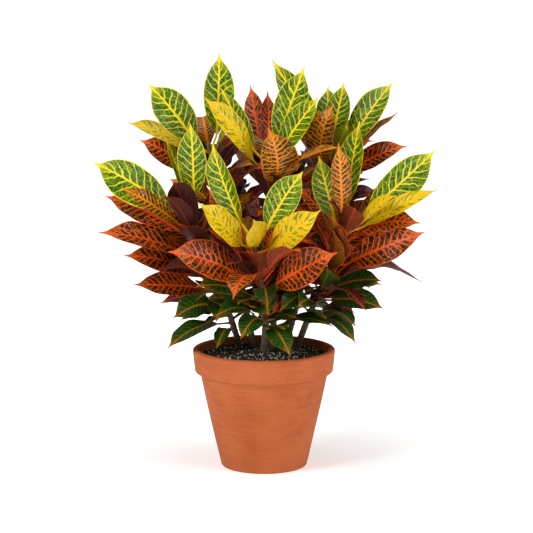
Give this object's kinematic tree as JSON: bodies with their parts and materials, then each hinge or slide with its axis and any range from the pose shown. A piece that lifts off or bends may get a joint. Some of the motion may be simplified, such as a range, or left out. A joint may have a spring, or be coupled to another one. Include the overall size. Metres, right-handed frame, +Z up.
{
  "type": "potted croton",
  "caption": "Bushy croton house plant with long pointed variegated leaves on leaning stems, standing in potting mix in a tapered terracotta pot with a rim band.",
  "frame": {"origin": "on the axis of the pot, on the surface that the pot stands on, which is the bottom centre of the whole plant's box", "axes": "+Z up, -Y towards the front of the plant, +X to the right"},
  "size_m": [0.4708, 0.3445, 0.5771],
  "materials": {
    "terracotta": "matte",
    "potting_mix": "matte",
    "stem_bark": "matte",
    "leaf_green_gold": "satin",
    "leaf_gold": "satin",
    "leaf_orange": "satin",
    "leaf_red": "satin",
    "leaf_dark": "satin",
    "leaf_green": "satin"
  },
  "bodies": {
    "root": {"pot": "terracotta", "soil": "potting_mix", "stem_front": "stem_bark", "stem_left": "stem_bark", "stem_right": "stem_bark", "stem_top_left": "stem_bark", "stem_top_centre": "stem_bark", "stem_top_right": "stem_bark", "leaf_front_top_left": "leaf_green_gold", "leaf_front_top_right": "leaf_green_gold", "leaf_front_gold_left": "leaf_gold", "leaf_front_gold_right": "leaf_gold", "leaf_front_red_left": "leaf_red", "leaf_front_red_right": "leaf_red", "leaf_front_curl": "leaf_red", "leaf_front_dark_left": "leaf_green", "leaf_front_reach": "leaf_red", "leaf_front_low_left": "leaf_green", "leaf_front_low_right": "leaf_green", "leaf_left_long": "leaf_green_gold", "leaf_left_upright": "leaf_green_gold", "leaf_left_orange": "leaf_orange", "leaf_left_red_upper": "leaf_red", "leaf_left_red_fold": "leaf_red", "leaf_left_red_long": "leaf_red", "leaf_left_red_low": "leaf_red", "leaf_left_dark_low": "leaf_red", "leaf_left_green_upper": "leaf_green", "leaf_left_green_lower": "leaf_green", "leaf_right_long": "leaf_green_gold", "leaf_right_upright": "leaf_green_gold", "leaf_right_gold_low": "leaf_gold", "leaf_right_red_fold": "leaf_red", "leaf_right_red_upper": "leaf_red", "leaf_right_red_long": "leaf_red", "leaf_right_arch_dark": "leaf_dark", "leaf_right_red_drop": "leaf_dark", "leaf_right_green_low": "leaf_green", "leaf_right_low_arch": "leaf_green", "leaf_right_inner": "leaf_green_gold", "leaf_top_right_long": "leaf_green_gold", "leaf_top_right_upright": "leaf_green_gold", "leaf_top_right_fold": "leaf_orange", "leaf_top_right_side": "leaf_orange", "leaf_top_right_red": "leaf_red", "leaf_top_cross_left": "leaf_green_gold", "leaf_top_left_upright": "leaf_green_gold", "leaf_top_left_long": "leaf_green_gold", "leaf_top_left_gold": "leaf_gold", "leaf_top_left_red": "leaf_red", "leaf_top_centre_long": "leaf_green_gold", "leaf_top_centre_right": "leaf_green_gold", "leaf_top_centre_gold": "leaf_gold", "leaf_top_centre_fold": "leaf_orange", "leaf_back_top": "leaf_green_gold", "leaf_back_left": "leaf_red", "leaf_back_right": "leaf_red", "leaf_back_middle": "leaf_orange", "leaf_back_low_left": "leaf_red", "leaf_back_low_right": "leaf_green"}
  },
  "joints": []
}
